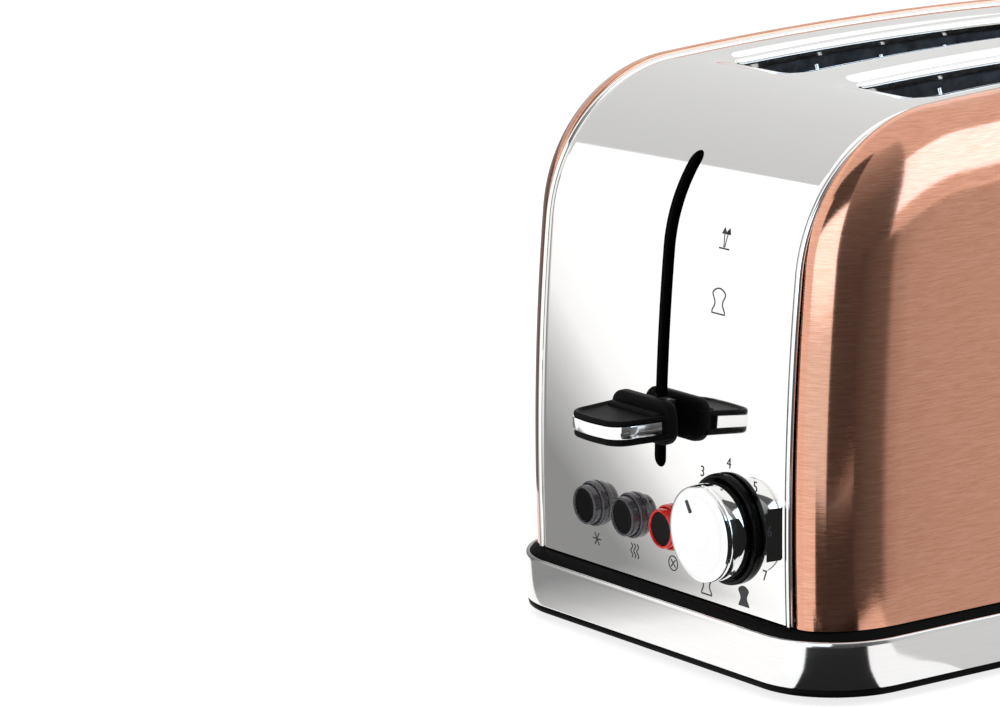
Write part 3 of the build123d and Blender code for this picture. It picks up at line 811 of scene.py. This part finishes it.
def polished_steel(name):
    """Mirror polished steel: clean reflections with faint drawn waves and a soft haze on the flat top."""
    material, shader, coords = blank(name, Metallic=1.0)
    shade = linear(sizes().steel_colour)
    haze = add_node(material, "ShaderNodeTexNoise", {"Scale": 55.0, "Detail": 4.0}, {"Vector": (coords, "Object")})
    tint = add_node(material, "ShaderNodeMix", {"data_type": "RGBA"}, {"Factor": (haze, "Fac")})
    tint.inputs["A"].default_value = shade
    tint.inputs["B"].default_value = tuple(c * 0.97 for c in shade[:3]) + (1.0,)
    join_socket(material, tint, "Result", shader, "Base Color")
    rough = add_node(material, "ShaderNodeMapRange", {"From Min": 0.3, "From Max": 0.7, "To Min": 0.03,
                                                      "To Max": 0.05}, {"Value": (haze, "Fac")})
    join_socket(material, rough, "Result", shader, "Roughness")
    waves = add_node(material, "ShaderNodeTexNoise", {"Scale": 9.0, "Detail": 1.0}, {"Vector": (coords, "Object")})
    height = add_node(material, "ShaderNodeBump", {"Strength": 0.03, "Distance": 0.0003}, {"Height": (waves, "Fac")})
    join_socket(material, height, "Normal", shader, "Normal")
    return material


def clear_plastic(name, low, high, transmission, rough):
    """Tinted clear plastic with a faint flow pattern."""
    material, shader, coords = blank(name, **{"IOR": 1.49, "Transmission Weight": transmission})
    flow = add_node(material, "ShaderNodeTexNoise", {"Scale": 300.0, "Detail": 2.0}, {"Vector": (coords, "Object")})
    drive(material, shader, flow, (low, high), (rough * 0.7, rough * 1.3), span=(0.0, 1.0))
    return material


def spun_face(name, low, high):
    """Turned aluminium: fine rings round the dial's own centre."""
    material, shader, coords = blank(name, Metallic=1.0)
    place = add_node(material, "ShaderNodeMapping", {"Location": (0.0, -DIAL.y, -DIAL.z)},
                     {"Vector": (coords, "Object")})
    flat = add_node(material, "ShaderNodeVectorMath", {"operation": "MULTIPLY"}, {"Vector": (place, "Vector")})
    flat.inputs[1].default_value = (0.0, 1.0, 1.0)
    radius = add_node(material, "ShaderNodeVectorMath", {"operation": "LENGTH"}, {"Vector": (flat, "Vector")})
    rings = add_node(material, "ShaderNodeTexNoise", {"noise_dimensions": "1D", "Scale": 2600.0, "Detail": 2.0},
                     {"W": (radius, "Value")})
    drive(material, shader, rings, (low, high), (0.2, 0.34), 0.08, 0.00002, span=(0.0, 1.0))
    return material


def make_materials():
    """Every finish of the toaster by its slot."""
    s = sizes()
    return {
        # Mirror polished stainless: it shows the room, with hardly any colour of its own
        "polished_chrome": polished_steel("polished_stainless_sheet"),
        # Copper brushed along the toaster: long hair lines that smear highlights up and down
        "brushed_copper": brushed("brushed_lacquered_copper", "#CB8A6C", s.copper_colour, (160.0, 160.0, 2400.0),
                                  0.09, 0.14, 0.24, **{"Coat Weight": 0.6, "Coat Roughness": 0.04}),
        # Stainless brushed along the band: soft grey with fine level lines
        "brushed_steel": brushed("brushed_stainless_band", "#E8E7E6", "#EDECEB", (60.0, 60.0, 3000.0),
                                 0.09, 0.13, 0.01),
        # Moulded black ABS with a fine spark-eroded grain: soft, even highlights
        "black_abs": mottled("moulded_black_abs", "#070707", "#0C0C0C", 1400.0, 0.4, 0.5, 0.1, IOR=1.5,
                             **{"Specular IOR Level": 0.03}),
        # Gloss black ABS straight from a polished mould: sharp, dim reflections
        "gloss_black": mottled("gloss_black_abs", "#050505", "#080808", 60.0, 0.1, 0.16, 0.04, IOR=1.5,
                               **{"Specular IOR Level": 0.07}),
        # Bright chrome plating on plastic: crisp reflections with the slightest haze
        "chrome_trim": mottled("bright_chrome_plating", "#E9E9E9", "#F2F2F2", 90.0, 0.05, 0.1, 0.04, Metallic=1.0),
        # Smoke tinted acrylic: grey and half clear, with bright rims
        "smoky_plastic": clear_plastic("smoke_tinted_acrylic", "#5A575C", "#6C696F", 0.6, 0.02),
        # Red tinted acrylic: deep red that glows where light gets in
        "red_plastic": clear_plastic("red_tinted_acrylic", "#DD231C", s.red_colour, 0.25, 0.03),
        # Soft moulded rubber: matt and nearly black
        "rubber": mottled("moulded_rubber", "#121212", "#1D1D1D", 900.0, 0.7, 0.88, 0.3, IOR=1.5),
        # Zinc plated mild steel: cool grey with a faint yellow bloom
        "zinc_steel": mottled("zinc_plated_steel", "#A9ACAE", "#C9CBC9", 240.0, 0.28, 0.45, 0.15, Metallic=1.0),
        # Bright aluminised steel: a soft silver spangle
        "bright_aluminised": mottled("aluminised_steel_sheet", "#BFC0C2", "#DADBDC", 130.0, 0.18, 0.34, 0.1,
                                     Metallic=1.0),
        # Heat-darkened steel sheet
        "dark_steel": mottled("oiled_dark_steel", "#3A3B3D", "#56575A", 180.0, 0.38, 0.55, 0.15, Metallic=1.0),
        # Mica board: flaky, tan and slightly glossy
        "mica": mottled("pressed_mica_board", "#A88F6C", "#CDB994", 420.0, 0.35, 0.6, 0.4, IOR=1.58),
        # Nichrome ribbon, oxidised by heat
        "nichrome": mottled("oxidised_nichrome", "#5E5752", "#857C74", 500.0, 0.35, 0.5, 0.1, Metallic=1.0),
        # Chromed spring wire
        "wire_chrome": mottled("chromed_steel_wire", "#C5C6C8", "#DCDDDE", 150.0, 0.12, 0.22, 0.05, Metallic=1.0),
        # Green solder-mask over glass fibre board
        "circuit_green": mottled("solder_masked_board", "#12462B", "#1C6240", 700.0, 0.25, 0.4, 0.2, IOR=1.5),
        # Enamelled copper winding
        "magnet_copper": brushed("enamelled_copper_winding", "#7A3517", "#B4622F", (40.0, 40.0, 2600.0),
                                 0.25, 0.4, 0.5),
        # Brown phenolic board and block
        "bakelite": mottled("phenolic_moulding", "#3A2015", "#553021", 350.0, 0.35, 0.55, 0.2, IOR=1.6),
        # Black pad-printing ink: a thin film with a low sheen
        "ink": mottled("pad_printed_black_ink", "#16171A", "#222326", 1600.0, 0.45, 0.6, 0.1, IOR=1.5),
        # Spun aluminium dial face
        "dial_face": spun_face("spun_aluminium_face", "#E6E6E6", "#F8F8F8"),
    }


FINISHES = {}


def finish_of(slot):
    """One finish, all made once."""
    if not FINISHES:
        FINISHES.update(make_materials())
    return FINISHES[slot]


def dress_frame_nodes():
    """Give every frame node the procedural finish of its slot."""
    slots = {row["node"]: row["material_slot"] for row in frame["record"]["subparts"]}
    for name, node in frame["nodes"].items():
        node.data.materials.clear()
        node.data.materials.append(finish_of(slots[name]))


def build_spring(zinc):
    """The lift spring, stretched at rest: the frame's coil copied with its points merged, given its finish and fixed
    to the housing.
    """
    spring = bpy.data.objects.new("lift_spring_coil", frame["nodes"]["lift_spring"].data.copy())
    bpy.context.scene.collection.objects.link(spring)
    reshape(spring, lambda: bpy.ops.mesh.remove_doubles(threshold=0.000001))
    spring.data.materials.clear()
    spring.data.materials.append(zinc)
    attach(spring, "housing")
    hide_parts("lift_spring")
    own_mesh(spring)


# Stage ---------------------------------------------------------------------------------------

def stage_material(name, colour, lit, roughness=0.6):
    """Plain studio surface that gives some light of its own."""
    return blank(name, **{"Base Color": linear(colour), "Roughness": roughness, "Emission Color": linear("#FFFFFF"),
                          "Emission Strength": lit})[0]


def card(name, corners, material):
    """Flat studio card between four corners that only shows in reflections."""
    deselect()
    bpy.ops.mesh.primitive_plane_add(size=1)
    piece = named(name)
    for point, corner in zip(piece.data.vertices, (corners[0], corners[1], corners[3], corners[2])):
        point.co = corner
    piece.data.materials.append(material)
    piece.visible_camera = False
    piece.visible_diffuse = False
    piece.visible_shadow = False
    piece.visible_transmission = False
    return piece


def standing(start, end, low, high):
    """Corners of an upright card over a line on the floor."""
    return [(*start, low), (*end, low), (*end, high), (*start, high)]


def glow(name, stops, weights, strength=2.0):
    """Glowing card material: its light, a level or a hex tint, is a ramp over a weighted sum of Object coordinates."""
    material = bpy.data.materials.new(name)
    material.use_nodes = True
    material.node_tree.nodes.clear()
    coords = add_node(material, "ShaderNodeTexCoord")
    along = add_node(material, "ShaderNodeVectorMath", {"operation": "DOT_PRODUCT"}, {"Vector": (coords, "Object")})
    along.inputs[1].default_value = weights
    low, high = stops[0][0], stops[-1][0]
    share = add_node(material, "ShaderNodeMapRange", {"From Min": low, "From Max": high}, {"Value": (along, "Value")})
    marks = [((place - low) / (high - low), light if isinstance(light, str) else light / strength)
             for place, light in stops]
    level = add_node(material, "ShaderNodeValToRGB", links={"Fac": (share, "Result")}, stops=marks)
    lamp = add_node(material, "ShaderNodeEmission", {"Strength": strength}, {"Color": (level, "Color")})
    add_node(material, "ShaderNodeOutputMaterial", links={"Surface": (lamp, "Emission")})
    return material


def softbox(name, place, target, size, power):
    """Rectangular area light turned to a point."""
    light = bpy.data.lights.new(name, "AREA")
    light.shape = "RECTANGLE"
    light.size, light.size_y = size
    light.energy = power
    lamp = bpy.data.objects.new(name, light)
    bpy.context.scene.collection.objects.link(lamp)
    lamp.location = place
    lamp.rotation_mode = "QUATERNION"
    lamp.rotation_quaternion = (Vector(target) - Vector(place)).to_track_quat("-Z", "Y")
    lamp.visible_glossy = False
    return lamp


def build_stage():
    """Pale floor, soft light all round, cards for the polished metal to show, and the camera."""
    deselect()
    bpy.ops.mesh.primitive_plane_add(size=12)
    floor = named("studio_floor")
    floor.data.materials.append(stage_material("pale_studio_floor", "#8C8C8C", 0.8))
    world = bpy.data.worlds.new("studio_world")
    bpy.context.scene.world = world
    world.use_nodes = True
    world.node_tree.nodes["Background"].inputs["Color"].default_value = (1.0, 1.0, 1.0, 1.0)
    world.node_tree.nodes["Background"].inputs["Strength"].default_value = 1.0
    bpy.context.scene.view_settings.view_transform = "Standard"
    body = Vector((MIDDLE, 0, 0.1))
    softbox("top_softbox", (0.1, -0.1, 1.3), body, (1.2, 1.2), 7.0)
    # Beside the controls: greyer towards the far low corner, so the polished front isn't one flat white
    fade = glow("fading_card", [(-0.75, 0.3), (-0.5, 0.53), (-0.33, 0.8), (-0.2, 1.08), (0.0, 1.2)], (0.0, -7.05, 8.4))
    card("front_card", standing((-0.2, -0.06), (-0.2, 0.34), 0.001, 0.24), fade)
    card("front_floor_card", [(-0.2, -0.06, 0.001), (-0.15, -0.06, 0.001), (-0.15, 0.34, 0.001),
                              (-0.2, 0.34, 0.001)], fade)
    # In front of the near corner: a dark upright that draws the edge of the copper and the base
    dark = glow("dark_card", [(0.0, 0.07), (0.36, 0.2)], (0.0, 0.0, 1.0))
    dusk = glow("upper_corner_card", [(0.3, 0.2), (0.6, 0.42), (1.3, 0.8)], (0.0, 0.0, 1.0))
    corner, corner_end = ((-0.369, -0.314), (-0.196, -0.454)), ((-0.2, -0.453), (-0.02, -0.5))
    card("corner_card", standing(*corner, 0.0, 0.36), dark)
    card("corner_card_end", standing(*corner_end, 0.0, 0.36), dark)
    card("upper_corner_card", standing(*corner, 0.36, 1.3), dusk)
    card("upper_corner_end", standing(*corner_end, 0.36, 1.3), dusk)
    card("corner_floor_far", [(-0.478, -0.226, 0.001), (-0.1, -0.48, 0.001), (-0.1, -0.2, 0.001),
                              (-0.232, -0.116, 0.001)], dark)
    # Left of it: pale low down, a bright window above and dark over that, for the copper's rolled edge
    window = glow("window_card", [(0.0, "#A6B1B5"), (0.108, "#A6B1B5"), (0.12, "#D6EAFA"), (0.4, "#D6EAFA"),
                                  (0.44, "#383838"), (1.4, "#383838")], (0.0, 0.0, 1.0), 3.0)
    card("window_card", standing((-1.03, 0.272), (-0.371, -0.312), 0.001, 1.4), window)
    black = glow("black_floor_card", [(0.0, 0.015), (0.1, 0.015)], (0.0, 0.0, 1.0))
    card("corner_floor_near", [(-0.235, -0.1075, 0.0012), (-0.131, -0.192, 0.0012), (-0.112, -0.063, 0.0012),
                               (-0.113, -0.062, 0.0012)], black)
    # Along the copper flank: dark at the corner, then a mid tone that is lighter to the rear
    mid = glow("flank_card", [(-0.14, 0.1), (-0.076, 0.2), (-0.062, 0.52), (-0.01, 0.68), (0.1, 0.8), (0.35, 0.9)],
               (1.0, 0.0, 0.0))
    card("flank_card", standing((-0.14, -0.2), (0.6, -0.2), 0.001, 0.155), mid)
    near = glow("flank_floor_card", [(-0.1, 0.7), (0.2, 0.74)], (1.0, 0.0, 0.0))
    card("flank_floor_card", [(-0.08, -0.2, 0.001), (0.6, -0.2, 0.001), (0.6, -0.09, 0.001),
                              (-0.08, -0.09, 0.001)], near)
    far = glow("far_flank_card", [(-0.2, 0.12), (0.0, 0.4), (0.3, 0.6)], (1.0, 0.0, 0.0))
    card("far_flank_card", standing((-0.32, 0.25), (0.6, 0.25), 0.001, 0.19), far)
    # Large light over the flank for the copper's long highlight
    bright = glow("highlight_card", [(0.0, "#CFE7FF"), (1.0, "#CFE7FF")], (0.0, 0.0, 1.0), 3.4)
    card("highlight_card", [(0.0, -1.22, 0.3), (1.3, -0.36, 0.3), (1.3, -0.2, 0.9), (0.05, -1.0, 0.9)], bright)
    # Close beside the dial: the dark block on its polished side
    beside = DIAL.y - sizes().dial_radius - 1.2 * MM
    card("dial_card", standing((FRONT - 0.0135, beside), (FRONT - 0.0025, beside), DIAL.z - 0.0085, DIAL.z + 0.0095),
         black)
    # Behind: a grey wall that the shoulder and the flat top show, with white over it for the dished rims
    wall = glow("grey_wall", [(-0.7, 0.66), (1.4, 0.85)], (1.0, 0.0, 0.0))
    card("grey_wall", [(-0.62, 1.2, 0.1), (0.5, 1.2, 0.1), (0.5, 1.2, 1.14), (-0.62, 1.2, 1.42)], wall)
    card("grey_wall_end", [(0.5, 1.2, 0.1), (2.2, 1.2, 0.1), (2.2, 1.2, 0.55), (0.5, 1.2, 1.14)], wall)
    white = glow("white_wall", [(0.0, 1.25), (3.0, 1.25)], (0.0, 0.0, 1.0))
    card("white_wall_left", standing((-3.5, 1.25), (-0.5, 1.25), 0.0, 2.4), white)
    card("white_wall", [(-0.7, 1.3, 0.9), (2.2, 1.3, 0.5), (2.2, 1.3, 2.4), (-0.7, 1.3, 2.4)], white)
    place_camera()


def place_camera():
    """Long lens from the near control corner, a little above the toaster."""
    target = Vector((-0.195, 0.009, 0.1114))
    yaw, pitch, roll, reach = math.radians(33.742), math.radians(12.413), math.radians(1.993), 1.8498
    ahead = Vector((math.sin(yaw) * math.cos(pitch), math.cos(yaw) * math.cos(pitch), -math.sin(pitch)))
    right = Vector((math.cos(yaw), -math.sin(yaw), 0))
    down = ahead.cross(right)
    turned_right = right * math.cos(roll) + down * math.sin(roll)
    turned_down = down * math.cos(roll) - right * math.sin(roll)
    camera = bpy.data.objects.new("studio_camera", bpy.data.cameras.new("studio_camera"))
    bpy.context.scene.collection.objects.link(camera)
    camera.data.lens = 202.26
    camera.data.clip_start, camera.data.clip_end = 0.05, 50
    axes = Matrix((turned_right, -turned_down, -ahead)).transposed()
    camera.rotation_mode = "QUATERNION"
    camera.rotation_quaternion = axes.to_quaternion()
    camera.location = target - ahead * reach
    bpy.context.scene.camera = camera


# Operators -----------------------------------------------------------------------------------

class TOASTER_OT_casing(bpy.types.Operator):
    """Make the polished wrap with its two bread slots"""
    bl_idname = "toaster.casing"
    bl_label = "Polished wrap"

    def execute(self, context):
        build_wrap(finish_of("polished_chrome"))
        return {"FINISHED"}


class TOASTER_OT_side_panels(bpy.types.Operator):
    """Make the two domed copper side panels"""
    bl_idname = "toaster.side_panels"
    bl_label = "Copper side panels"

    def execute(self, context):
        for side in SIDES:
            build_side_panel(side, finish_of("brushed_copper"))
        return {"FINISHED"}


class TOASTER_OT_base(bpy.types.Operator):
    """Make the base band and moulding"""
    bl_idname = "toaster.base"
    bl_label = "Base"

    def execute(self, context):
        build_base(finish_of("brushed_steel"), finish_of("black_abs"))
        return {"FINISHED"}


class TOASTER_OT_lever(bpy.types.Operator):
    """Make the lever's paddle and bright band"""
    bl_idname = "toaster.lever"
    bl_label = "Lever"

    def execute(self, context):
        build_lever(finish_of("black_abs"), finish_of("chrome_trim"))
        return {"FINISHED"}


class TOASTER_OT_dial(bpy.types.Operator):
    """Make the browning dial and its ring"""
    bl_idname = "toaster.dial"
    bl_label = "Browning dial"

    def execute(self, context):
        build_dial(finish_of("chrome_trim"), finish_of("dial_face"), finish_of("gloss_black"), finish_of("ink"))
        return {"FINISHED"}


class TOASTER_OT_buttons(bpy.types.Operator):
    """Make the three push buttons"""
    bl_idname = "toaster.buttons"
    bl_label = "Push buttons"

    def execute(self, context):
        build_buttons(finish_of("gloss_black"), finish_of("smoky_plastic"), finish_of("red_plastic"))
        return {"FINISHED"}


class TOASTER_OT_marks(bpy.types.Operator):
    """Print the dial numbers and small pictures"""
    bl_idname = "toaster.marks"
    bl_label = "Printed marks"

    def execute(self, context):
        build_marks(finish_of("ink"))
        return {"FINISHED"}


class TOASTER_OT_frame_finish(bpy.types.Operator):
    """Give the frame's own pieces their finishes"""
    bl_idname = "toaster.frame_finish"
    bl_label = "Frame finishes"

    def execute(self, context):
        dress_frame_nodes()
        build_spring(finish_of("zinc_steel"))
        return {"FINISHED"}


class TOASTER_OT_stage(bpy.types.Operator):
    """Set the floor, light and camera"""
    bl_idname = "toaster.stage"
    bl_label = "Studio"

    def execute(self, context):
        build_stage()
        return {"FINISHED"}


OPERATORS = (TOASTER_OT_frame_finish, TOASTER_OT_casing, TOASTER_OT_side_panels, TOASTER_OT_base, TOASTER_OT_lever,
             TOASTER_OT_dial, TOASTER_OT_buttons, TOASTER_OT_marks, TOASTER_OT_stage)


class TOASTER_PT_panel(bpy.types.Panel):
    """Toaster pieces in the sidebar"""
    bl_label = "Pop Up Toaster"
    bl_idname = "TOASTER_PT_panel"
    bl_space_type = "VIEW_3D"
    bl_region_type = "UI"
    bl_category = "Toaster"

    def draw(self, context):
        for name in ToasterSizes.__annotations__:
            self.layout.prop(context.scene.toaster, name)
        for operator in OPERATORS:
            self.layout.operator(operator.bl_idname)


CLASSES = (ToasterSizes, *OPERATORS, TOASTER_PT_panel)


def register():
    for cls in CLASSES:
        bpy.utils.register_class(cls)
    bpy.types.Scene.toaster = PointerProperty(type=ToasterSizes)


def unregister():
    del bpy.types.Scene.toaster
    for cls in reversed(CLASSES):
        bpy.utils.unregister_class(cls)


def main():
    """Register the classes and build everything in order."""
    register()
    for operator in OPERATORS:
        group, name = operator.bl_idname.split(".")
        getattr(getattr(bpy.ops, group), name)()
    deselect()


if __name__ == "__main__":
    main()
